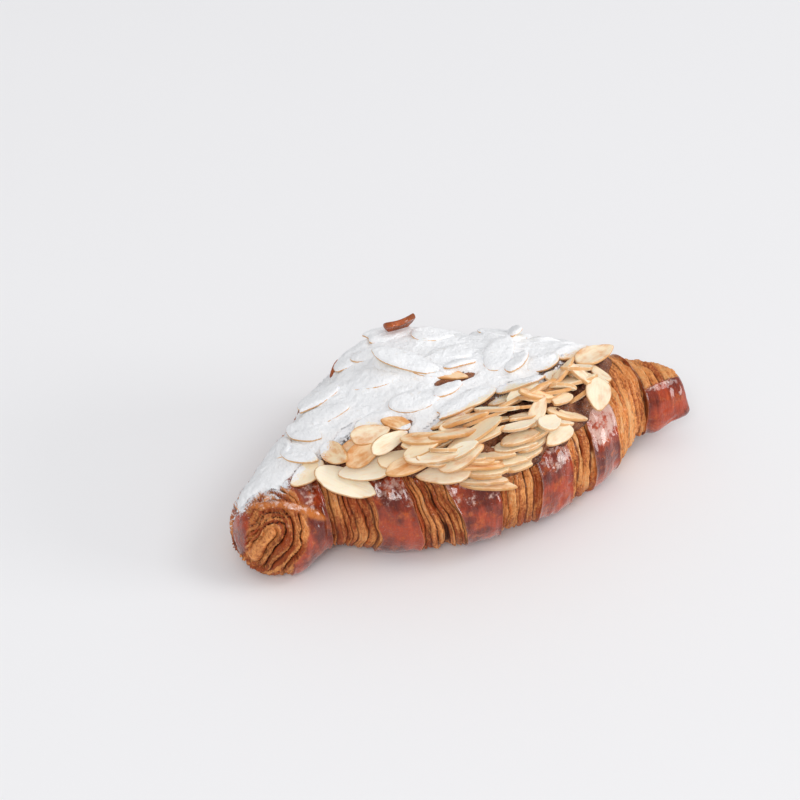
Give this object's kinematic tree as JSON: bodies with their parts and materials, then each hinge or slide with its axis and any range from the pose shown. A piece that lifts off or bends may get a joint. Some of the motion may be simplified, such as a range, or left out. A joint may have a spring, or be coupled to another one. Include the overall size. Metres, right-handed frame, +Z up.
{
  "type": "almond croissant",
  "caption": "Rolled crescent pastry with a glossy layered crust, almond cream on top and a scatter of sliced almonds.",
  "frame": {"origin": "on the table, under the middle of the whole pastry's bounding box", "axes": "+X along the roll from its blunt left tip to its slim right tip, +Y to the back where the roll bulges, +Z up"},
  "size_m": [0.167, 0.0924, 0.05],
  "materials": {
    "dough": "egg-washed baked croissant dough, glossy red-brown on the skin bands and matt golden on the exposed layers",
    "cream": "baked almond cream, brown and crumbly",
    "almond": "toasted sliced almond, partly under icing sugar"
  },
  "bodies": {
    "root": {"croissant_dough": "dough", "almond_cream": "cream", "almond_slice_01": "almond", "almond_slice_02": "almond", "almond_slice_03": "almond", "almond_slice_04": "almond", "almond_slice_05": "almond", "almond_slice_06": "almond", "almond_slice_07": "almond", "almond_slice_08": "almond", "almond_slice_09": "almond", "almond_slice_10": "almond", "almond_slice_11": "almond", "almond_slice_12": "almond", "almond_slice_13": "almond", "almond_slice_14": "almond", "almond_slice_15": "almond", "almond_slice_16": "almond", "almond_slice_17": "almond", "almond_slice_18": "almond", "almond_slice_19": "almond", "almond_slice_20": "almond", "almond_slice_21": "almond", "almond_slice_22": "almond", "almond_slice_23": "almond", "almond_slice_24": "almond", "almond_slice_25": "almond", "almond_slice_26": "almond", "almond_slice_27": "almond", "almond_slice_28": "almond", "almond_slice_29": "almond", "almond_slice_30": "almond", "almond_slice_31": "almond", "almond_slice_32": "almond", "almond_slice_33": "almond", "almond_slice_34": "almond", "almond_slice_35": "almond", "almond_slice_36": "almond", "almond_slice_37": "almond", "almond_slice_38": "almond", "almond_slice_39": "almond", "almond_slice_40": "almond", "almond_slice_41": "almond", "almond_slice_42": "almond", "almond_slice_43": "almond", "almond_slice_44": "almond", "almond_slice_45": "almond", "almond_slice_46": "almond", "almond_slice_47": "almond", "almond_slice_48": "almond", "almond_slice_49": "almond", "almond_slice_50": "almond", "almond_slice_51": "almond", "almond_slice_52": "almond", "almond_slice_53": "almond", "almond_slice_54": "almond", "almond_slice_55": "almond", "almond_slice_56": "almond", "almond_slice_57": "almond", "almond_slice_58": "almond"}
  },
  "joints": []
}
